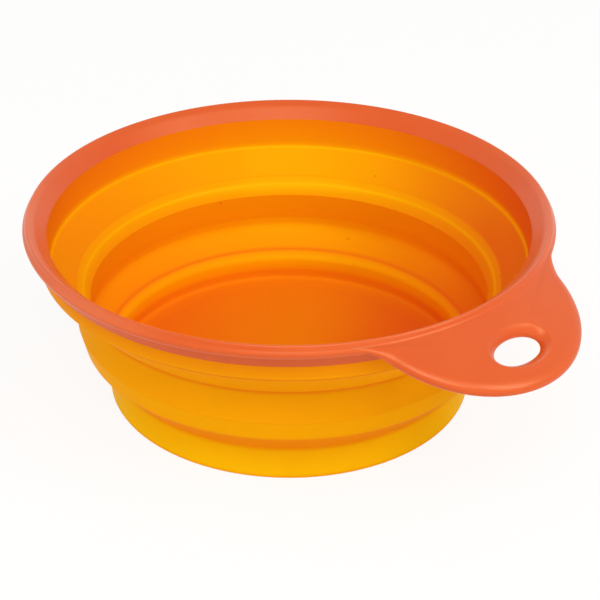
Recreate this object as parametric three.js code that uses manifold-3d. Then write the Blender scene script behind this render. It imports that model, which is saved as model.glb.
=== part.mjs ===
// A collapsible travel bowl: a translucent silicone body of three stacked rings joined by two thin
// folds, bonded inside a stiffer coral rim that flares out to a lip and a drooping hang tab.
// Millimetres, +Z up. The origin is the centre of the underside, and the tab points along +X.
import * as THREE from 'three';
import { mergeVertices } from 'three/addons/utils/BufferGeometryUtils.js';
import Module from 'manifold-3d';

const wasm = await Module();
wasm.setup();

// Silicone body: outer radius of the foot, then each zone's rise and how far it flares outwards
const BASE_RADIUS = 49.4;
const LOWER_WALL_RISE = 9.5;
const LOWER_WALL_FLARE = 0.1;
const LOWER_FOLD_RISE = 7.0;
const LOWER_FOLD_FLARE = 6.3;
const MIDDLE_WALL_RISE = 14.5;
const MIDDLE_WALL_FLARE = 0.5;
const UPPER_FOLD_RISE = 9.8;
const UPPER_FOLD_FLARE = 9.7;
const COLLAR_RISE = 4.1;
const COLLAR_FLARE = 0.7;

// Silicone body: thickness of each zone, square to its outer face
const FLOOR_THICKNESS = 3.0;
const LOWER_WALL_THICKNESS = 1.5;
const LOWER_FOLD_FOOT_THICKNESS = 1.3;
const LOWER_FOLD_HEAD_THICKNESS = 1.1;
const MIDDLE_WALL_FOOT_THICKNESS = 1.0;
const MIDDLE_WALL_HEAD_THICKNESS = 3.1;
const UPPER_FOLD_THICKNESS = 0.9;
const COLLAR_FOOT_THICKNESS = 2.4;
const COLLAR_HEAD_THICKNESS = 2.95;

// Silicone body: rounded foot, coves over the floor and over the lower fold, the rib line round the
// outside of the middle wall, and the undercut edge inside it, which lies below the upper fold
const FOOT_ROUND = 0.9;
const FLOOR_COVE = 3.3;
const FOLD_COVE = 7.5;
const RIB_RISE = 5.8;
const RIB_STAND = 1.25;
const INNER_EDGE_DROP = 2.8;

// Bond between the silicone and the rim: a thin upper lap of the collar inside the rim's skirt
const LAP_THICKNESS = 1.25;
const LAP_RISE = 3.0;
const BOND_GAP = 0.2;

// Rim: a skirt on the collar, then a lip that flares out to a low bead, a bevel and a thin edge
const SKIRT_FLARE = 0.45;
const LIP_OVERHANG = 3.4;
const LIP_RISE = 7.35;
const CREST_INSET = 1.45;
const CREST_WIDTH = 1.7;
const CREST_FALL = 1.1;
const BEAD_HEIGHT = 1.2;
const BEAD_SPREAD = 0.75;
const BEVEL_DROP = 0.9;
const LIP_EDGE_DEPTH = 1.2;
const LIP_EDGE_INSET = 0.35;
const UNDERSIDE_FALL = 0.75;
const LIP_ROUND = 0.5;
const LIP_EDGE_ROUND = 0.4;
const LIP_COVE = 0.6;
const BEAD_COVE = 0.3;

// Hang tab: its reach past the lip, the radii of its outline, the width over which it grows from the
// thickness of the lip's edge to its own, its droop, and its dished oval hole
const TAB_REACH = 20.65;
const TAB_TIP_RADIUS = 30.2;
const TAB_FLARE_RADIUS = 15.0;
const TAB_FLARE_SINK = 0.2;
const TAB_THICKNESS = 3.0;
const TAB_TAPER = 4.0;
const TAB_ROUND = 1.2;
const TAB_DROP = 1.25;
const TAB_BEND_INSET = 1.1;
const TAB_ROOT_INSET = 3.1;
const TAB_DROOP = THREE.MathUtils.degToRad(20.8);
const HOLE_INSET = 10.0;
const HOLE_LENGTH = 14.8;
const HOLE_WIDTH = 7.85;
const DISH_WIDTH = 1.6;
const DISH_DEPTH = 1.4;

// The most of a side that one rounded corner may take
const ROUND_SHARE = 0.45;

// Fineness of the round surfaces
const SEGMENTS = 72;
const ROUND_STEPS = 4;
const TAB_ARC_STEPS = 12;
const HOLE_STEPS = 36;
const SAME_POINT = 1e-3;

const SILICONE = new THREE.MeshStandardMaterial({ color: 0xf79a12, roughness: 0.45, metalness: 0 });
const FOLD_SILICONE = new THREE.MeshStandardMaterial({ color: 0xf9ad0c, roughness: 0.45, metalness: 0 });
const CORAL = new THREE.MeshStandardMaterial({ color: 0xea6f40, roughness: 0.5, metalness: 0 });

const point = (r, z) => new THREE.Vector2(r, z);

// The straight line through two points, as a start and a direction.
function lineThrough(from, to) {
  return { start: from, along: to.clone().sub(from) };
}

// The inner face of a zone: its outer line, moved inwards by the thickness at its foot and head.
function innerLine(foot, head, footThickness, headThickness) {
  const inwards = head.clone().sub(foot).normalize();
  inwards.set(-inwards.y, inwards.x);
  return lineThrough(
    foot.clone().addScaledVector(inwards, footThickness),
    head.clone().addScaledVector(inwards, headThickness),
  );
}

// Where two lines of the section cross.
function crossing(a, b) {
  const share = b.start.clone().sub(a.start).cross(b.along) / a.along.cross(b.along);
  return a.start.clone().addScaledVector(a.along, share);
}

// A closed section with some corners rounded: each corner is { at, round }. A rounding that would take
// more than its share of a side is limited to that share.
function roundedSection(corners) {
  return corners.flatMap(({ at, round = 0 }, i) => {
    if (round === 0) return [at];
    const back = corners.at(i - 1).at.clone().sub(at);
    const ahead = corners[(i + 1) % corners.length].at.clone().sub(at);
    const shorterSide = Math.min(back.length(), ahead.length());
    back.normalize();
    ahead.normalize();
    const half = Math.acos(back.dot(ahead)) / 2;
    const reach = Math.min(round / Math.tan(half), ROUND_SHARE * shorterSide);
    const centre = at.clone().addScaledVector(back.clone().add(ahead).normalize(), reach / Math.cos(half));
    const start = at.clone().addScaledVector(back, reach);
    const turn = Math.sign(ahead.cross(back)) * (Math.PI - 2 * half);
    return Array.from({ length: ROUND_STEPS + 1 }, (_, step) =>
      start.clone().rotateAround(centre, (turn * step) / ROUND_STEPS));
  });
}

// A section turned once round the bowl's axis, which is Z.
function revolve(section, closesOnAxis = false) {
  const outline = closesOnAxis ? section : [...section, section[0]];
  return new THREE.LatheGeometry(outline, SEGMENTS).rotateX(Math.PI / 2);
}

// A skin through a row of like outlines, closed at both ends. Each outline is convex, and runs
// anticlockwise when it is seen from the outline after it.
function loft(outlines) {
  const count = outlines[0].length;
  const index = [];
  for (let row = 0; row + 1 < outlines.length; row += 1) {
    for (let i = 0; i < count; i += 1) {
      const a = row * count + i;
      const b = row * count + ((i + 1) % count);
      index.push(a, b, b + count, a, b + count, a + count);
    }
  }
  const last = (outlines.length - 1) * count;
  for (let i = 1; i + 1 < count; i += 1) {
    index.push(0, i + 1, i, last, last + i, last + i + 1);
  }
  return new THREE.BufferGeometry().setFromPoints(outlines.flat()).setIndex(index);
}

// A three.js geometry as a solid that can be joined and cut, and back again. Points that coincide are
// merged, and the triangles that this leaves without area are dropped.
function toSolid(geometry) {
  const bare = geometry.clone();
  bare.deleteAttribute('normal');
  bare.deleteAttribute('uv');
  const merged = mergeVertices(bare);
  const triangles = [];
  for (let i = 0; i < merged.index.count; i += 3) {
    const [a, b, c] = merged.index.array.slice(i, i + 3);
    if (a !== b && b !== c && c !== a) triangles.push(a, b, c);
  }
  return new wasm.Manifold(new wasm.Mesh({
    numProp: 3,
    vertProperties: Float32Array.from(merged.attributes.position.array),
    triVerts: Uint32Array.from(triangles),
  }));
}

function toGeometry(solid) {
  const { vertProperties, triVerts } = solid.getMesh();
  const geometry = new THREE.BufferGeometry();
  geometry.setAttribute('position', new THREE.BufferAttribute(vertProperties, 3));
  geometry.setIndex(new THREE.BufferAttribute(triVerts, 1));
  geometry.computeVertexNormals();
  return geometry;
}

function piece(name, geometry, material) {
  const mesh = new THREE.Mesh(geometry, material);
  mesh.name = name;
  return mesh;
}

// Outer creases of the silicone, stacked from the table up
const footOuter = point(BASE_RADIUS, 0);
const lowerHead = footOuter.clone().add(point(LOWER_WALL_FLARE, LOWER_WALL_RISE));
const middleFoot = lowerHead.clone().add(point(LOWER_FOLD_FLARE, LOWER_FOLD_RISE));
const middleHead = middleFoot.clone().add(point(MIDDLE_WALL_FLARE, MIDDLE_WALL_RISE));
const collarFoot = middleHead.clone().add(point(UPPER_FOLD_FLARE, UPPER_FOLD_RISE));
const collarHead = collarFoot.clone().add(point(COLLAR_FLARE, COLLAR_RISE));

// Inner faces, and the inner creases where they cross
const lowerInner = innerLine(footOuter, lowerHead, LOWER_WALL_THICKNESS, LOWER_WALL_THICKNESS);
const lowerFoldInner =
  innerLine(lowerHead, middleFoot, LOWER_FOLD_FOOT_THICKNESS, LOWER_FOLD_HEAD_THICKNESS);
const middleInner =
  innerLine(middleFoot, middleHead, MIDDLE_WALL_FOOT_THICKNESS, MIDDLE_WALL_HEAD_THICKNESS);
const upperFoldInner = innerLine(middleHead, collarFoot, UPPER_FOLD_THICKNESS, UPPER_FOLD_THICKNESS);
const collarInner =
  innerLine(collarFoot, collarHead, COLLAR_FOOT_THICKNESS, COLLAR_HEAD_THICKNESS);
const levelLine = (z) => ({ start: point(0, z), along: point(1, 0) });
const lowerHeadInner = crossing(lowerInner, lowerFoldInner);
const middleFootInner = crossing(lowerFoldInner, middleInner);
const innerEdge = crossing(middleInner, levelLine(middleHead.y - INNER_EDGE_DROP));
const ridge = crossing(upperFoldInner, levelLine(middleHead.y));
const collarFootInner = crossing(upperFoldInner, collarInner);

// Base floor: a thick disc with a rounded foot
const lowerOuter = lineThrough(footOuter, lowerHead);
const floorRim = crossing(lowerOuter, levelLine(FLOOR_THICKNESS));
const baseFloor = piece('base_floor', revolve(roundedSection([
  { at: point(0, 0) },
  { at: footOuter, round: FOOT_ROUND },
  { at: floorRim },
  { at: point(0, FLOOR_THICKNESS) },
]), true), SILICONE);

// Lower wall: the lowest ring, with a cove that runs out onto the floor
const floorCorner = crossing(lowerInner, levelLine(FLOOR_THICKNESS));
const floorCove = roundedSection([
  { at: lowerHeadInner },
  { at: floorCorner, round: FLOOR_COVE },
  { at: point(0, FLOOR_THICKNESS) },
]).slice(1, -1);
const lowerWallSection = [floorRim, lowerHead, lowerHeadInner, ...floorCove];
const lowerWall = piece('lower_wall', revolve(lowerWallSection), SILICONE);

// Lower fold and middle wall: rings that meet face to face at the crease, in the middle of a wide cove
const foldCove = roundedSection([
  { at: lowerHeadInner },
  { at: middleFootInner, round: FOLD_COVE },
  { at: innerEdge },
]).slice(1, -1);
const coveMiddle = ROUND_STEPS / 2;
const foldCoveBelow = foldCove.slice(0, coveMiddle + 1).reverse();
const foldCoveAbove = foldCove.slice(coveMiddle).reverse();
const lowerFoldSection = [lowerHead, middleFoot, ...foldCoveBelow, lowerHeadInner];
const lowerFold = piece('lower_fold', revolve(lowerFoldSection), FOLD_SILICONE);
const middleOuter = lineThrough(middleFoot, middleHead);
const ribLine = crossing(middleOuter, levelLine(middleFoot.y + RIB_RISE)).add(point(RIB_STAND, 0));
const middleWallSection = [middleFoot, ribLine, middleHead, ridge, innerEdge, ...foldCoveAbove];
const middleWall = piece('middle_wall', revolve(middleWallSection), SILICONE);

// Upper fold: the thin ring between the ridge of the middle wall and the collar
const upperFoldSection = [middleHead, collarFoot, collarFootInner, ridge];
const upperFold = piece('upper_fold', revolve(upperFoldSection), FOLD_SILICONE);

// Collar: the top ring of the silicone, thinned above its head to a lap that stands inside the skirt
const lapTop = collarHead.y + LAP_RISE;
const lapInner = crossing(collarInner, levelLine(lapTop));
const lapRadius = lapInner.x + LAP_THICKNESS;
const collar = piece('collar', revolve([
  collarFoot,
  collarHead,
  point(lapRadius, collarHead.y),
  point(lapRadius, lapTop),
  lapInner,
  collarFootInner,
]), SILICONE);

// Rim section: the skirt stands on the collar outside the lap, and the flared lip covers the lap
const skirtFoot = collarHead.y + BOND_GAP;
const skirtRadius = lapRadius + BOND_GAP;
const flareFoot = lapTop + BOND_GAP;
const lipRadius = collarHead.x + LIP_OVERHANG;
const crest = point(lipRadius - CREST_INSET, collarHead.y + LIP_RISE);
const beadFoot = crest.clone().add(point(BEAD_SPREAD, -BEAD_HEIGHT));
const bevelFoot = point(lipRadius, beadFoot.y - BEVEL_DROP);
const lipEdge = bevelFoot.clone().sub(point(LIP_EDGE_INSET, LIP_EDGE_DEPTH));
const rimSection = roundedSection([
  { at: point(skirtRadius, skirtFoot) },
  { at: point(collarHead.x, skirtFoot) },
  { at: point(collarHead.x + SKIRT_FLARE, lipEdge.y - UNDERSIDE_FALL), round: LIP_COVE },
  { at: lipEdge, round: LIP_EDGE_ROUND },
  { at: bevelFoot, round: LIP_EDGE_ROUND },
  { at: beadFoot, round: BEAD_COVE },
  { at: crest, round: LIP_ROUND },
  { at: crest.clone().sub(point(CREST_WIDTH, CREST_FALL)), round: LIP_ROUND },
  { at: crossing(collarInner, levelLine(flareFoot)) },
  { at: point(skirtRadius, flareFoot) },
]);

// Tab outline: a tip arc, flared at both sides by an arc that touches the tip and runs into the lip
const tipCentre = lipRadius + TAB_REACH - TAB_TIP_RADIUS;
const tipToFlare = TAB_TIP_RADIUS + TAB_FLARE_RADIUS;
const axisToFlare = lipRadius - TAB_FLARE_SINK + TAB_FLARE_RADIUS;
const flareX = (tipCentre ** 2 + axisToFlare ** 2 - tipToFlare ** 2) / (2 * tipCentre);
const flareY = Math.sqrt(axisToFlare ** 2 - flareX ** 2);
const flareAngle = Math.atan2(flareY, flareX);
const tipAngle = Math.atan2(flareY, flareX - tipCentre);
const tabEdge = new THREE.Path()
  .absarc(flareX, -flareY, TAB_FLARE_RADIUS, Math.PI - flareAngle, Math.PI - tipAngle, true)
  .absarc(tipCentre, 0, TAB_TIP_RADIUS, -tipAngle, tipAngle, false)
  .absarc(flareX, flareY, TAB_FLARE_RADIUS, Math.PI + tipAngle, Math.PI + flareAngle, true)
  .getPoints(TAB_ARC_STEPS)
  .filter((edge, i, all) => i === 0 || edge.distanceTo(all[i - 1]) > SAME_POINT);

// Tab: a flange that grows out of the lip and droops past a bend. Its section at each point of the
// outline runs from a root inside the rim to a rounded edge.
const tabTop = crest.y - TAB_DROP;
const rootRadius = lipRadius - TAB_ROOT_INSET;
const bendRadius = lipRadius - TAB_BEND_INSET;
const tabSlope = Math.tan(TAB_DROOP);
const onTab = (at, z) => new THREE.Vector3(at.x, at.y, z - tabSlope * Math.max(at.length() - bendRadius, 0));
const tabSections = tabEdge.map((edge, i) => {
  const before = tabEdge[Math.max(i - 1, 0)];
  const after = tabEdge[Math.min(i + 1, tabEdge.length - 1)];
  const inwards = point(before.y - after.y, after.x - before.x).normalize();
  const root = edge.clone().setLength(rootRadius);
  const grown = THREE.MathUtils.smoothstep(edge.length(), lipRadius, lipRadius + TAB_TAPER);
  const thickness = THREE.MathUtils.lerp(LIP_EDGE_DEPTH, TAB_THICKNESS, grown);
  const tabUnderside = tabTop - thickness;
  const round = Math.min(TAB_ROUND, ROUND_SHARE * thickness, ROUND_SHARE * edge.distanceTo(root));
  const roundedEdge = (from, to, level) => Array.from({ length: ROUND_STEPS }, (_, step) => {
    const angle = from + ((to - from) * step) / (ROUND_STEPS - 1);
    const inset = round * (1 - Math.cos(angle));
    return onTab(edge.clone().addScaledVector(inwards, inset), level + round * Math.sin(angle));
  });
  return [
    onTab(root, tabTop),
    ...roundedEdge(Math.PI / 2, 0, tabTop - round),
    ...roundedEdge(0, -Math.PI / 2, tabUnderside + round),
    onTab(root, tabUnderside),
  ];
});
const tab = loft(tabSections);

// Hang hole: an oval bore, square to the tab, that widens into a dish at the tab's upper face
const holeX = lipRadius + TAB_REACH - HOLE_INSET;
const ovalAt = (height, widening) => Array.from({ length: HOLE_STEPS }, (_, step) => {
  const angle = (2 * Math.PI * step) / HOLE_STEPS;
  const x = (HOLE_WIDTH / 2 + widening) * Math.cos(angle);
  const y = (HOLE_LENGTH / 2 + widening) * Math.sin(angle);
  return new THREE.Vector3(x, y, height);
});
const hole = loft([
  ovalAt(-2 * TAB_THICKNESS, 0),
  ovalAt(-DISH_DEPTH, 0),
  ovalAt(DISH_DEPTH, 2 * DISH_WIDTH),
]).rotateY(TAB_DROOP).translate(holeX, 0, onTab(point(holeX, 0), tabTop).z);

const rimSolid = toSolid(revolve(rimSection))
  .add(toSolid(tab))
  .subtract(toSolid(hole));
const rim = piece('rim_with_tab', toGeometry(rimSolid), CORAL);

const bowl = new THREE.Group();
bowl.add(baseFloor, lowerWall, lowerFold, middleWall, upperFold, collar, rim);

export default bowl;
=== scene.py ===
import bpy
import numpy as np
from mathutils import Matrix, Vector


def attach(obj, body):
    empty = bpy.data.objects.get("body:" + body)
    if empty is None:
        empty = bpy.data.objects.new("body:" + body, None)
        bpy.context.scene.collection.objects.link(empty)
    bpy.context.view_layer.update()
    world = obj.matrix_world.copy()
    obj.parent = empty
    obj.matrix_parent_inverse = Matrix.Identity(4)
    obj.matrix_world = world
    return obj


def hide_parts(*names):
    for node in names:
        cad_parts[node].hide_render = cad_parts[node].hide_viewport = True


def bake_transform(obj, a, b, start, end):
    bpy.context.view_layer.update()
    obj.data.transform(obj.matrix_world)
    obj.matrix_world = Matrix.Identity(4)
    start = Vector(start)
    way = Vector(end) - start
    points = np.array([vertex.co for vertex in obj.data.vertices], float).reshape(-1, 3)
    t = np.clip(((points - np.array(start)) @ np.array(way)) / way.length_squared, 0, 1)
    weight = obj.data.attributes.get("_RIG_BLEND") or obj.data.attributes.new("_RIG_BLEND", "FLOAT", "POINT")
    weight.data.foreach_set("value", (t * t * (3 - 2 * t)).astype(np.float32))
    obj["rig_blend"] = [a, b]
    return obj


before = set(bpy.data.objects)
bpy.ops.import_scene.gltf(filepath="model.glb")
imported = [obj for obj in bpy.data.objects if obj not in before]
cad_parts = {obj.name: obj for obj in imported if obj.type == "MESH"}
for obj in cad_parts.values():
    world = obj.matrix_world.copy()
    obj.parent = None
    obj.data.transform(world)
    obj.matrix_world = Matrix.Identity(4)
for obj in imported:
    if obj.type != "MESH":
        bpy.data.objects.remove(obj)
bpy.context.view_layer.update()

# Base half of the bowl: the floor, the lower wall and the lower fold, up to the rib line of the
# middle wall. Translucent silicone, moulded in one shot: yellow where it is thin, orange where it is
# thick, with painted shade and painted highlight lines along its folds. The thin fold turns inside out when
# the middle wall sinks round the lower wall.

MM = 0.001
TURNS = 288
CREASE_ANGLE = np.radians(40)

# Corners of the section in millimetres: radius, height, cut of the rounding, depth of the orange, and
# how much deeper the orange gets towards the sides, which is painted shade on the inner walls.
BASE_SECTION = np.array([
    [0.0, 0.0, 0.0, 0.70, 0.0],
    [46.0, 0.0, 0.3, 0.60, 0.0],
    [49.4, 0.0, 0.8, 0.25, 0.0],
    [49.4, 1.4, 0.3, 0.02, 0.0],
    [49.5, 8.6, 0.3, 0.10, 0.0],
    # The lower fold's outer face, from here to its crease, is painted deeper orange: painted shade under the
    # middle wall
    [49.5, 9.5, 0.4, 0.50, 0.0],
    [50.2, 10.28, 0.2, 0.56, 0.0],
    [55.35, 16.0, 0.2, 0.56, 0.0],
    [55.8, 16.5, 0.5, 0.35, 0.0],
    [56.1, 17.6, 0.3, 0.18, 0.0],
    [57.1, 21.7, 0.3, 0.22, 0.0],
    [57.25, 22.3, 0.0, 0.30, 0.0],
    [53.5, 28.2, 0.0, 0.22, 0.4],
    # The undercut below the inner edge is painted a little deeper: painted shade under the ridge
    [54.05, 22.8, 0.5, 0.28, 0.3],
    [54.25, 20.9, 0.2, 0.30, 0.4],
    [54.4, 20.1, 0.2, 0.12, 0.7],
    [54.75, 17.1, 2.4, 0.09, 0.9],
    [50.6, 12.6, 0.2, 0.24, 0.8],
    # A painted dark line of shade and, below it, a painted highlight line along the inner edge of the lower
    # fold
    [49.9, 11.85, 0.1, 0.70, 0.5],
    [49.4, 11.3, 0.1, 0.22, 0.5],
    [48.0, 9.8, 0.9, 0.02, 0.5],
    [48.0, 7.8, 0.2, 0.10, 0.5],
    [48.0, 6.6, 0.2, 0.25, 0.5],
    [48.0, 5.6, 0.2, 0.56, 0.5],
    [48.0, 3.0, 1.5, 0.60, 0.5],
    [44.6, 3.0, 0.2, 0.76, 0.5],
    [44.2, 3.0, 0.1, 0.66, 0.5],
    [43.8, 3.0, 0.1, 0.76, 0.5],
    [42.0, 3.0, 0.3, 0.76, 0.6],
    [0.0, 3.0, 0.0, 0.76, 0.0],
])


def softened(section, steps=7):
    """The section with each corner rounded, and without the column of the cuts. A rounding leaves the
    corner's two sides at the cut, at most 45% of a side, and runs between them on the parabola that
    the corner pulls towards itself."""
    longest = 0.45
    at, cut = np.delete(section, 2, axis=1), section[1:-1, 2]
    side = np.linalg.norm(np.diff(at[:, :2], axis=0), axis=1)
    corner, back, ahead = at[1:-1], at[:-2] - at[1:-1], at[2:] - at[1:-1]
    start = corner + back * np.minimum(cut / side[:-1], longest)[:, None]
    end = corner + ahead * np.minimum(cut / side[1:], longest)[:, None]
    t = np.linspace(0, 1, steps)[None, :, None]
    bent = (1 - t) ** 2 * start[:, None] + 2 * t * (1 - t) * corner[:, None] + t ** 2 * end[:, None]
    return np.vstack([at[:1], bent.reshape(-1, at.shape[1]), at[-1:]])


def spaced(line, step):
    """The line with more points on its long stretches, so that none is longer than the step."""
    gone = np.concatenate([[0], np.cumsum(np.linalg.norm(np.diff(line[:, :2], axis=0), axis=1))])
    gone, first = np.unique(np.round(gone, 5), return_index=True)
    marks = np.union1d(gone, np.linspace(0, gone[-1], int(gone[-1] / step)))
    marks = marks[np.concatenate([[True], np.diff(marks) > 1e-3])]
    return np.column_stack([np.interp(marks, gone, column) for column in line[first].T])


def grid_faces(rows, columns, ring_of_rows):
    """Four-cornered faces between neighbours of a grid whose columns go all the way round."""
    i = np.arange(rows if ring_of_rows else rows - 1)[:, None]
    j = np.arange(columns)[None, :]
    below, beside = (i + 1) % rows, (j + 1) % columns
    quads = [i * columns + j, i * columns + beside, below * columns + beside, below * columns + j]
    return np.stack(np.broadcast_arrays(*quads), axis=-1).reshape(-1, 4)


def turned(name, line, closed):
    """A line of radius and height carried once round the axis: each point goes to radius times the
    cosine and sine of the turn, at its height. An open line starts and ends on the axis."""
    turn = np.arange(TURNS) * (2 * np.pi / TURNS)
    rings = line if closed else line[1:-1]
    radius, height = rings[:, :1], rings[:, 1:2]
    points = np.stack([
        radius * np.cos(turn),
        radius * np.sin(turn),
        np.broadcast_to(height, (len(rings), TURNS)),
    ], axis=-1).reshape(-1, 3)
    faces = grid_faces(len(rings), TURNS, closed).tolist()
    if not closed:
        first, last = len(points), len(points) + 1
        points = np.vstack([points, [[0, 0, line[0, 1]], [0, 0, line[-1, 1]]]])
        j = np.arange(TURNS)
        beside, top = (j + 1) % TURNS, (len(rings) - 1) * TURNS
        faces += np.column_stack([np.full(TURNS, first), beside, j]).tolist()
        faces += np.column_stack([np.full(TURNS, last), top + j, top + beside]).tolist()
    mesh = bpy.data.meshes.new(name)
    mesh.from_pydata((points * MM).tolist(), [], faces)
    mesh.shade_smooth()
    piece = bpy.data.objects.new(name, mesh)
    bpy.context.scene.collection.objects.link(piece)
    return piece


def carry(piece, closed, attribute, values):
    """Puts values on a turned mesh: one for each point of its line, or one for each point and turn."""
    spread = np.broadcast_to(values.reshape(len(values), -1), (len(values), TURNS))
    if closed:
        spread = spread.ravel()
    else:
        spread = np.concatenate([spread[1:-1].ravel(), spread[[0, -1], 0]])
    layer = piece.data.attributes.get(attribute)
    layer = layer or piece.data.attributes.new(attribute, "FLOAT", "POINT")
    layer.data.foreach_set("value", spread.astype(np.float32))


# Painted shade: the inside of the bowl is painted redder on the two sides across this turn, where less lamp
# light falls
LIT_AXIS_TURN = np.radians(137.0)
SIDE_SHADE_SHARE = 0.72
SIDE_SHADE_LEAN = 0.28


def orange_depth(line):
    """The depth of the orange at each point and turn. Inside the bowl it is deeper at the two sides
    across the lit axis, as the sine squared of the turn, and deepest on the side past the tab: painted shade
    on the inner walls that get less lamp light."""
    sideways = np.sin(np.arange(TURNS) * (2 * np.pi / TURNS) - LIT_AXIS_TURN)
    return line[:, 2:3] + line[:, 3:4] * sideways ** 2 * (SIDE_SHADE_SHARE - SIDE_SHADE_LEAN * sideways)


def ramp(value, start, end):
    """0 up to the start, 1 from the end on, and a straight run between them, eased at both ends."""
    ease = 0.2
    t = np.clip((value - start) / (end - start), 0, 1)
    eased = np.where(t < ease, t ** 2 / (2 * ease), t - ease / 2)
    eased = np.where(t > 1 - ease, 1 - ease - (1 - t) ** 2 / (2 * ease), eased)
    return eased / (1 - ease)


def linear(red, green, blue):
    """A colour as it is seen on screen, 0 to 255, as the light values that a shader takes."""
    c = np.array([red, green, blue]) / 255
    return (*np.where(c <= 0.04045, c / 12.92, ((c + 0.055) / 1.055) ** 2.4), 1.0)


BRIGHT_YELLOW = linear(255, 200, 10)
THIN_YELLOW = linear(250, 177, 5)
MEDIUM_AMBER = linear(246, 151, 12)
THICK_ORANGE = linear(235, 114, 22)
DEEP_ORANGE = linear(232, 83, 38)
DUST_BROWN = linear(150, 66, 14)
DEEPEST = 1.5


def silicone_material():
    """Translucent silicone: its colour runs from yellow to orange with the depth of the orange, which also
    carries painted shade and painted highlight lines, and its skin has a fine mould grain, faint flow marks
    and a few specks of dust."""
    material = bpy.data.materials.new("orange_silicone")
    material.use_nodes = True
    tree = material.node_tree
    nodes, link = tree.nodes, tree.links.new
    skin = nodes["Principled BSDF"]
    skin.inputs["IOR"].default_value = 1.41
    skin.inputs["Specular IOR Level"].default_value = 0.01
    place = nodes.new("ShaderNodeTexCoord")
    depth = nodes.new("ShaderNodeAttribute")
    depth.attribute_name = "orange_depth"

    flow = nodes.new("ShaderNodeTexNoise")
    flow.inputs["Scale"].default_value = 42.0
    flow.inputs["Detail"].default_value = 4.0
    link(place.outputs["Object"], flow.inputs["Vector"])
    drift = nodes.new("ShaderNodeMapRange")
    drift.inputs["To Min"].default_value = -0.03
    drift.inputs["To Max"].default_value = 0.03
    link(flow.outputs["Fac"], drift.inputs["Value"])
    clouded = nodes.new("ShaderNodeMath")
    clouded.operation = "MULTIPLY_ADD"
    clouded.inputs[1].default_value = 1 / DEEPEST
    link(depth.outputs["Fac"], clouded.inputs[0])
    link(drift.outputs["Result"], clouded.inputs[2])
    tint = nodes.new("ShaderNodeValToRGB")
    tint.color_ramp.elements[0].color = BRIGHT_YELLOW
    tint.color_ramp.elements[1].color = DEEP_ORANGE
    tint.color_ramp.elements.new(0.15 / DEEPEST).color = THIN_YELLOW
    tint.color_ramp.elements.new(0.5 / DEEPEST).color = MEDIUM_AMBER
    tint.color_ramp.elements.new(1.0 / DEEPEST).color = THICK_ORANGE
    link(clouded.outputs["Value"], tint.inputs["Fac"])

    specks = nodes.new("ShaderNodeTexVoronoi")
    specks.inputs["Scale"].default_value = 95.0
    link(place.outputs["Object"], specks.inputs["Vector"])
    small = nodes.new("ShaderNodeMapRange")
    small.inputs["From Min"].default_value = 0.035
    small.inputs["From Max"].default_value = 0.05
    small.inputs["To Min"].default_value = 0.25
    small.inputs["To Max"].default_value = 0.0
    link(specks.outputs["Distance"], small.inputs["Value"])
    dusty = nodes.new("ShaderNodeMix")
    dusty.data_type = "RGBA"
    dusty.inputs["B"].default_value = DUST_BROWN
    link(small.outputs["Result"], dusty.inputs["Factor"])
    link(tint.outputs["Color"], dusty.inputs["A"])
    link(dusty.outputs["Result"], skin.inputs["Base Color"])

    grain = nodes.new("ShaderNodeTexNoise")
    grain.inputs["Scale"].default_value = 1500.0
    grain.inputs["Detail"].default_value = 3.0
    link(place.outputs["Object"], grain.inputs["Vector"])
    shine = nodes.new("ShaderNodeMapRange")
    shine.inputs["To Min"].default_value = 0.34
    shine.inputs["To Max"].default_value = 0.46
    link(flow.outputs["Fac"], shine.inputs["Value"])
    link(shine.outputs["Result"], skin.inputs["Roughness"])
    bump = nodes.new("ShaderNodeBump")
    bump.inputs["Strength"].default_value = 0.12
    bump.inputs["Distance"].default_value = 0.05 * MM
    link(grain.outputs["Fac"], bump.inputs["Height"])
    link(bump.outputs["Normal"], skin.inputs["Normal"])
    return material


# The lower fold follows the middle wall between these radii, and the wall itself between these heights
LOWER_FOLD_FROM, LOWER_FOLD_TO = 49.3, 54.6
MIDDLE_WALL_FROM, MIDDLE_WALL_TO = 17.0, 20.5

silicone = silicone_material()
base_line = spaced(softened(BASE_SECTION), 1.3)
base_half = turned("bowl_base_half", base_line, closed=False)
carry(base_half, False, "orange_depth", orange_depth(base_line))
base_half.data.set_sharp_from_angle(angle=CREASE_ANGLE)
base_half.data.materials.append(silicone)
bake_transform(base_half, "base", "middle", start=(0, 0, 9.5 * MM), end=(0, 0, 16.5 * MM))
across = ramp(base_line[:, 0], LOWER_FOLD_FROM, LOWER_FOLD_TO)
above = ramp(base_line[:, 1], MIDDLE_WALL_FROM, MIDDLE_WALL_TO)
carry(base_half, False, "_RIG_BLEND", np.maximum(across, above))
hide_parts("base_floor", "lower_wall", "lower_fold")

# Upper half of the bowl: the middle wall above its rib line, the upper fold and the collar. The same
# shot of silicone, thickest in the collar, which is bonded to the rim. The thin upper fold turns
# inside out when the rim and collar sink round the middle wall.

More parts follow.
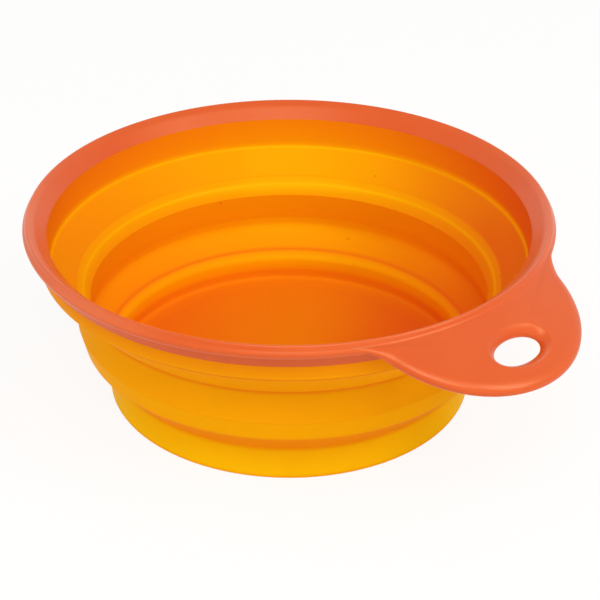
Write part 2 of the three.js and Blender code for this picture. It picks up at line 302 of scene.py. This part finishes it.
# Same columns as the base section; the last one is painted shade towards the inner sides
UPPER_SECTION = np.array([
    [57.25, 22.3, 0.0, 0.30, 0.0],
    [56.4, 30.1, 0.2, 0.30, 0.0],
    # Painted shade in the outer crease between the middle wall and the upper fold
    [56.3, 31.0, 0.4, 0.80, 0.0],
    [56.9, 31.6, 0.2, 0.34, 0.0],
    [65.4, 40.2, 0.2, 0.36, 0.0],
    # A painted dark line of shade under the foot of the collar
    [65.75, 40.55, 0.05, 1.30, 0.0],
    [66.0, 40.8, 0.25, 0.40, 0.0],
    [66.72, 45.0, 0.0, 0.60, 0.0],
    [65.2, 45.0, 0.0, 0.70, 0.0],
    [65.2, 48.0, 0.0, 0.80, 0.0],
    [63.88, 48.0, 0.0, 0.55, 0.7],
    [63.58, 41.2, 0.4, 0.34, 0.8],
    # A painted bright line of light in the inner corner at the foot of the collar
    [63.5, 39.5, 0.3, 0.00, 0.2],
    [62.9, 38.9, 0.2, 0.11, 0.9],
    [57.3, 33.23, 0.1, 0.11, 1.0],
    [57.0, 32.92, 0.1, 0.21, 0.8],
    [56.7, 32.62, 0.1, 0.11, 0.6],
    [55.7, 31.61, 0.2, 0.08, 0.6],
    # A painted highlight along the ridge at the head of the middle wall
    [55.1, 31.0, 0.3, -0.05, 0.3],
    [54.8, 30.5, 0.2, 0.0, 0.7],
    [53.5, 28.2, 0.0, 0.20, 0.6],
])

# The upper fold follows the rim between these radii, above the head of the middle wall
UPPER_FOLD_FROM, UPPER_FOLD_TO = 56.0, 63.4
WALL_HEAD_FROM, WALL_HEAD_TO = 30.0, 31.5

upper_line = spaced(softened(UPPER_SECTION), 0.7)
upper_half = turned("bowl_upper_half", upper_line, closed=True)
carry(upper_half, True, "orange_depth", orange_depth(upper_line))
upper_half.data.set_sharp_from_angle(angle=CREASE_ANGLE)
upper_half.data.materials.append(silicone)
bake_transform(upper_half, "middle", "rim", start=(0, 0, 31.0 * MM), end=(0, 0, 40.8 * MM))
across = ramp(upper_line[:, 0], UPPER_FOLD_FROM, UPPER_FOLD_TO)
above = ramp(upper_line[:, 1], WALL_HEAD_FROM, WALL_HEAD_TO)
carry(upper_half, True, "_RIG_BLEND", across * above)
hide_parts("middle_wall", "upper_fold", "collar")

# Rim with its hang tab: one moulding of coral plastic, stiffer than the bowl. A short skirt round the
# collar, a lip that flares out over it to a low crest and a thin edge, and a broad tab that droops from
# the lip, with a rounded edge and a dished oval hole.

LIP_RADIUS = 70.1
CREST = np.array([68.65, 52.25])
BEAD_FOOT = np.array([69.4, 51.05])
# Corners of the section: radius, height and cut of the rounding
RIM_SECTION = np.array([
    [65.2, 46.0, 0.0],
    [65.2, 45.0, 0.0],
    [66.72, 45.0, 0.12],
    [67.17, 48.2, 0.6],
    [69.75, 48.95, 0.4],
    [LIP_RADIUS, 50.15, 0.5],
    [*BEAD_FOOT, 0.3],
    [69.05, 51.95, 0.25],
    [*CREST, 0.5],
    [66.95, 51.15, 0.6],
    [63.88, 48.0, 0.12],
    [65.2, 48.0, 0.0],
    [65.2, 46.0, 0.0],
])
TAB_REACH = 20.65
TIP_RADIUS = 30.2
FLARE_RADIUS = 15.0
FLARE_SINK = 0.2
TAB_DROP = 1.25
TAB_BEND = 69.0
TAB_ROOT = 67.0
TAB_THICKNESS = 3.0
TAB_TAPER = 4.0
LIP_EDGE_DEPTH = 1.2
TAB_ROUND = 1.35
TAB_SOFT = 2.4
TAB_SWING = 0.5
TAB_SINK = 0.03
ROOF_SINK = 0.3
ROOF_SLOPE = 0.65
BEVEL_SINK = 0.05
BEVEL_SLOPE = 1.3
ROOT_TURN = 0.5
ROOT_FADE = 0.2
DROOP = np.radians(20.8)
HOLE_INSET = 10.0
HOLE_HALF = np.array([3.92, 7.4])
DISH_WIDTH = 2.1
DISH_DEPTH = 2.0
DISH_ROUND = 0.3
HOLE_EDGE = 0.35


def arc(x, y, radius, start, end, count):
    """Points on a circle about (x, y), from one angle towards another, without the last."""
    angle = np.linspace(start, end, count, endpoint=False)
    return np.column_stack([x + radius * np.cos(angle), y + radius * np.sin(angle)])


def tab_outline():
    """The tab from above, anticlockwise: a flare that leaves the lip, the tip arc, the other flare, and
    a line, an arc and a line inside the lip that close it. The second array is 1 on the edge that shows."""
    tip = LIP_RADIUS + TAB_REACH - TIP_RADIUS
    to_flare = LIP_RADIUS - FLARE_SINK + FLARE_RADIUS
    flare_x = (tip ** 2 + to_flare ** 2 - (TIP_RADIUS + FLARE_RADIUS) ** 2) / (2 * tip)
    flare_y = np.sqrt(to_flare ** 2 - flare_x ** 2)
    at_lip, at_tip = np.arctan2(flare_y, flare_x), np.arctan2(flare_y, flare_x - tip)
    shown = np.vstack([
        arc(flare_x, -flare_y, FLARE_RADIUS, np.pi - at_lip, np.pi - at_tip, 40),
        arc(tip, 0, TIP_RADIUS, -at_tip, at_tip, 200),
        arc(flare_x, flare_y, FLARE_RADIUS, np.pi + at_tip, np.pi + at_lip, 40),
    ])
    inwards = np.linspace(LIP_RADIUS - FLARE_SINK, TAB_ROOT, 20, endpoint=False)[:, None]
    outwards = np.linspace(TAB_ROOT, LIP_RADIUS - FLARE_SINK, 20, endpoint=False)[:, None]
    hidden = np.vstack([
        inwards * [np.cos(at_lip), np.sin(at_lip)],
        arc(0, 0, TAB_ROOT, at_lip, -at_lip, 120),
        outwards * [np.cos(at_lip), -np.sin(at_lip)],
    ])
    return np.vstack([shown, hidden]), np.repeat([1.0, 0.0], [len(shown), len(hidden)])


def tab_top(x, y):
    """Height of the tab's upper face. Past a bend it drops by the droop. At the lip it swings up, on the
    rounded maximum of two heights, into the slope of the bead, and it ends hidden under the crest."""
    away = np.hypot(x, y)
    plate = CREST[1] - TAB_DROP - np.tan(DROOP) * np.clip(away - TAB_BEND, 0, None)
    steepness = (CREST[1] - BEAD_FOOT[1]) / (BEAD_FOOT[0] - CREST[0])
    slope = BEAD_FOOT[1] - TAB_SINK - steepness * (away - BEAD_FOOT[0])
    overlap = np.clip(TAB_SWING - np.abs(plate - slope), 0, None)
    joined = np.maximum(plate, slope) + overlap ** 2 / (4 * TAB_SWING)
    hidden = CREST[1] - ROOF_SINK - ROOF_SLOPE * np.abs(away - CREST[0])
    return np.where(away < BEAD_FOOT[0], np.minimum(joined, hidden), joined)


def tab_rows():
    """Rows of points round the tab's section, each row going round the outline: in from the edge
    along the upper face, down the dish and the hole, and out along the lower face to the edge. The
    upper edge is a quarter of an ellipse, broader than it is high, and the lower one of a circle."""
    edge, shown = tab_outline()
    run = np.roll(edge, -1, axis=0) - np.roll(edge, 1, axis=0)
    inwards = np.column_stack([-run[:, 1], run[:, 0]]) / np.linalg.norm(run, axis=1)[:, None]
    reach = np.linalg.norm(edge, axis=1)
    grown = np.clip((reach - LIP_RADIUS) / TAB_TAPER, 0, 1)
    turn = np.abs(np.arctan2(edge[:, 1], edge[:, 0]))
    grown = np.where(shown > 0, grown, np.clip((ROOT_TURN - turn) / ROOT_FADE, 0, 1))
    thickness = LIP_EDGE_DEPTH + (TAB_THICKNESS - LIP_EDGE_DEPTH) * grown ** 2 * (3 - 2 * grown)
    round_of = np.minimum(TAB_ROUND, 0.45 * np.minimum(reach - TAB_ROOT, thickness)) * shown
    soft_of = round_of + (TAB_SOFT - TAB_ROUND) * grown * shown
    hole_x = LIP_RADIUS + TAB_REACH - HOLE_INSET
    seen = (edge - [hole_x, 0]) / (HOLE_HALF + DISH_WIDTH)
    around = seen / np.linalg.norm(seen, axis=1)[:, None]

    def from_edge(angle, face):
        broad = soft_of if face == "upper" else round_of
        at = edge + inwards * (broad * (1 - np.sin(angle)))[:, None]
        fall = round_of * (1 - np.cos(angle))
        bevel = BEAD_FOOT[1] - BEVEL_SINK - BEVEL_SLOPE * (np.linalg.norm(at, axis=1) - BEAD_FOOT[0])
        upper = tab_top(*at.T)
        upper = np.where(shown > 0, upper, np.minimum(upper, bevel))
        return np.column_stack([at, upper - fall if face == "upper" else upper + fall - thickness])

    def from_hole(widening, depth):
        x = hole_x + around[:, 0] * (HOLE_HALF[0] + widening) * np.cos(DROOP)
        y = around[:, 1] * (HOLE_HALF[1] + widening)
        return np.column_stack([x - depth * np.sin(DROOP), y, tab_top(x, y) - depth * np.cos(DROOP)])

    quarter = np.linspace(0, np.pi / 2, 13)
    rows = [from_edge(a, "upper") for a in quarter[::-1]]
    outer, inner = rows[-1], from_hole(DISH_WIDTH, 0.0)
    for share in np.linspace(0, 1, 34)[1:-1]:
        at = outer[:, :2] * (1 - share) + inner[:, :2] * share
        rows.append(np.column_stack([at, tab_top(*at.T)]))
    for a in np.linspace(0, np.pi / 2, 12):
        straight = 2 * a / np.pi
        widening = DISH_WIDTH * (1 - DISH_ROUND * np.sin(a) - (1 - DISH_ROUND) * straight)
        depth = DISH_DEPTH * (DISH_ROUND * (1 - np.cos(a)) + (1 - DISH_ROUND) * straight)
        rows.append(from_hole(widening, depth))
    rows.append(from_hole(0.0, TAB_THICKNESS - HOLE_EDGE))
    rows += [from_hole(HOLE_EDGE * (1 - np.cos(a)), TAB_THICKNESS - HOLE_EDGE * (1 - np.sin(a)))
             for a in np.linspace(0, np.pi / 2, 5)[1:]]
    rows += [from_edge(a, "lower") for a in quarter]
    return np.array(rows)


DEEP_CORAL = linear(220, 83, 16)
PALE_CORAL = linear(224, 89, 20)
WARM_SHEEN = (1.0, 0.9, 0.62, 1.0)


def coral_material():
    """Coral plastic: an even coral with faint clouding, a satin skin that is a little smoother in
    streaks, and the fine grain of a spark-finished mould."""
    material = bpy.data.materials.new("coral_plastic")
    material.use_nodes = True
    tree = material.node_tree
    nodes, link = tree.nodes, tree.links.new
    skin = nodes["Principled BSDF"]
    skin.inputs["IOR"].default_value = 1.48
    skin.inputs["Specular IOR Level"].default_value = 0.7
    skin.inputs["Specular Tint"].default_value = WARM_SHEEN
    skin.inputs["Subsurface Weight"].default_value = 0.12
    skin.inputs["Subsurface Radius"].default_value = (1.0, 0.4, 0.2)
    skin.inputs["Subsurface Scale"].default_value = 0.8 * MM
    place = nodes.new("ShaderNodeTexCoord")
    cloud = nodes.new("ShaderNodeTexNoise")
    cloud.inputs["Scale"].default_value = 60.0
    cloud.inputs["Detail"].default_value = 5.0
    link(place.outputs["Object"], cloud.inputs["Vector"])
    tint = nodes.new("ShaderNodeValToRGB")
    tint.color_ramp.elements[0].position = 0.25
    tint.color_ramp.elements[0].color = DEEP_CORAL
    tint.color_ramp.elements[1].position = 0.75
    tint.color_ramp.elements[1].color = PALE_CORAL
    link(cloud.outputs["Fac"], tint.inputs["Fac"])
    link(tint.outputs["Color"], skin.inputs["Base Color"])
    shine = nodes.new("ShaderNodeMapRange")
    shine.inputs["To Min"].default_value = 0.30
    shine.inputs["To Max"].default_value = 0.38
    link(cloud.outputs["Fac"], shine.inputs["Value"])
    link(shine.outputs["Result"], skin.inputs["Roughness"])
    grain = nodes.new("ShaderNodeTexNoise")
    grain.inputs["Scale"].default_value = 2200.0
    grain.inputs["Detail"].default_value = 2.0
    link(place.outputs["Object"], grain.inputs["Vector"])
    bump = nodes.new("ShaderNodeBump")
    bump.inputs["Strength"].default_value = 0.1
    bump.inputs["Distance"].default_value = 0.04 * MM
    link(grain.outputs["Fac"], bump.inputs["Height"])
    link(bump.outputs["Normal"], skin.inputs["Normal"])
    return material


rim_line = spaced(softened(RIM_SECTION), 0.6)[:-1]
rim = turned("rim_with_hang_tab", rim_line, closed=True)
rows = tab_rows()
tab_mesh = bpy.data.meshes.new("tab")
tab_faces = grid_faces(rows.shape[0], rows.shape[1], True)
tab_mesh.from_pydata((rows.reshape(-1, 3) * MM).tolist(), [], tab_faces.tolist())
tab_mesh.shade_smooth()
tab = bpy.data.objects.new("tab", tab_mesh)
bpy.context.scene.collection.objects.link(tab)
joining = rim.modifiers.new("join the tab", "BOOLEAN")
joining.operation = "UNION"
joining.solver = "MANIFOLD"
joining.object = tab
bpy.context.view_layer.update()
joined = bpy.data.meshes.new_from_object(rim.evaluated_get(bpy.context.evaluated_depsgraph_get()))
rim.modifiers.clear()
rim.data = joined
bpy.data.objects.remove(tab)
rim.data.set_sharp_from_angle(angle=CREASE_ANGLE)
rim.data.materials.clear()
rim.data.materials.append(coral_material())
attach(rim, "rim")
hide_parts("rim_with_tab")

# Stage: a plain white floor that keeps a faint shadow, an even white room and five soft lamps. The
# floor and the room look white to the camera and in reflections, and light the object less than that.

FLOOR_HALF = 3.0
FLOOR_GLOW = 1.03
FLOOR_GLOW_SHARE = 0.85
ROOM_LIGHT = 0.45
WARM_WHITE = (1.0, 0.93, 0.8)
LAMP_AIM = Vector((0, 0, 0.03))


def seen_plainly(tree):
    """The share of a ray that sees the white background as it is: 1 for a ray from the camera, off a
    glossy skin or through a clear one, and 0 for the light that falls on the object."""
    path = tree.nodes.new("ShaderNodeLightPath")
    share = path.outputs["Is Camera Ray"]
    for kind in ("Is Glossy Ray", "Is Transmission Ray"):
        either = tree.nodes.new("ShaderNodeMath")
        either.operation = "MAXIMUM"
        tree.links.new(share, either.inputs[0])
        tree.links.new(path.outputs[kind], either.inputs[1])
        share = either.outputs["Value"]
    return share


floor_mesh = bpy.data.meshes.new("floor")
floor_corners = np.array([[-1, -1, 0], [1, -1, 0], [1, 1, 0], [-1, 1, 0]]) * FLOOR_HALF
floor_mesh.from_pydata(floor_corners.tolist(), [], [(0, 1, 2, 3)])
floor = bpy.data.objects.new("floor", floor_mesh)
bpy.context.scene.collection.objects.link(floor)
paper = bpy.data.materials.new("white_paper")
paper.use_nodes = True
paper_nodes = paper.node_tree.nodes
paper_link = paper.node_tree.links.new
sheet = paper_nodes["Principled BSDF"]
sheet.inputs["Base Color"].default_value = (0.9, 0.9, 0.9, 1)
sheet.inputs["Roughness"].default_value = 0.9
sheet.inputs["Specular IOR Level"].default_value = 0.0
glow = paper_nodes.new("ShaderNodeEmission")
glow.inputs["Strength"].default_value = FLOOR_GLOW
share = paper_nodes.new("ShaderNodeMath")
share.operation = "MULTIPLY"
share.inputs[1].default_value = FLOOR_GLOW_SHARE
paper_link(seen_plainly(paper.node_tree), share.inputs[0])
whitened = paper_nodes.new("ShaderNodeMixShader")
paper_link(share.outputs["Value"], whitened.inputs["Fac"])
paper_link(sheet.outputs["BSDF"], whitened.inputs[1])
paper_link(glow.outputs["Emission"], whitened.inputs[2])
paper_link(whitened.outputs["Shader"], paper_nodes["Material Output"].inputs["Surface"])
floor_mesh.materials.append(paper)

world = bpy.data.worlds.new("studio")
bpy.context.scene.world = world
world.use_nodes = True
room = world.node_tree
sky = room.nodes["Background"]
sky.inputs["Color"].default_value = (1, 1, 1, 1)
level = room.nodes.new("ShaderNodeMapRange")
level.inputs["To Min"].default_value = ROOM_LIGHT
level.inputs["To Max"].default_value = 1.0
room.links.new(seen_plainly(room), level.inputs["Value"])
room.links.new(level.outputs["Result"], sky.inputs["Strength"])

azimuth, elevation = np.radians(47.4), np.radians(30.38)
towards = np.array([np.sin(azimuth), -np.cos(azimuth)])
aside = np.array([np.cos(azimuth), np.sin(azimuth)])


def soft_box(name, nearer, sideways, up, width, height, watts):
    """A rectangular lamp that faces the bowl, placed in metres from the bowl's axis: towards the
    camera's side, to its right and up."""
    data = bpy.data.lights.new(name, "AREA")
    data.shape = "RECTANGLE"
    data.size, data.size_y, data.energy = width, height, watts
    data.color = WARM_WHITE
    lamp = bpy.data.objects.new(name, data)
    lamp.location = (*(towards * nearer + aside * sideways), up)
    lamp.rotation_euler = (LAMP_AIM - lamp.location).to_track_quat("-Z", "Y").to_euler()
    bpy.context.scene.collection.objects.link(lamp)


soft_box("front_light", nearer=0.58, sideways=0.03, up=0.82, width=0.6, height=0.4, watts=3.3)
soft_box("right_light", nearer=0.34, sideways=0.66, up=0.7, width=0.34, height=0.5, watts=2.7)
soft_box("left_fill", nearer=0.15, sideways=-0.9, up=0.3, width=0.8, height=0.6, watts=1.9)
soft_box("low_fill", nearer=0.9, sideways=0.4, up=0.16, width=1.0, height=0.28, watts=0.8)
soft_box("back_fill", nearer=-0.9, sideways=0.0, up=0.5, width=0.8, height=0.4, watts=0.8)

CAMERA_AIM = Vector((0, 0, 26.48 * MM))
CAMERA_DISTANCE = 474.6 * MM
away = Vector((
    np.sin(azimuth) * np.cos(elevation),
    -np.cos(azimuth) * np.cos(elevation),
    np.sin(elevation),
))
lens = bpy.data.cameras.new("camera")
lens.lens, lens.sensor_width = 105.0, 36.0
lens.shift_x, lens.shift_y = 0.0181, -0.0152
lens.clip_start, lens.clip_end = 0.01, 20.0
camera = bpy.data.objects.new("camera", lens)
camera.location = CAMERA_AIM + away * CAMERA_DISTANCE
camera.rotation_euler = away.to_track_quat("Z", "Y").to_euler()
bpy.context.scene.collection.objects.link(camera)
bpy.context.scene.camera = camera
bpy.context.scene.view_settings.view_transform = "Standard"
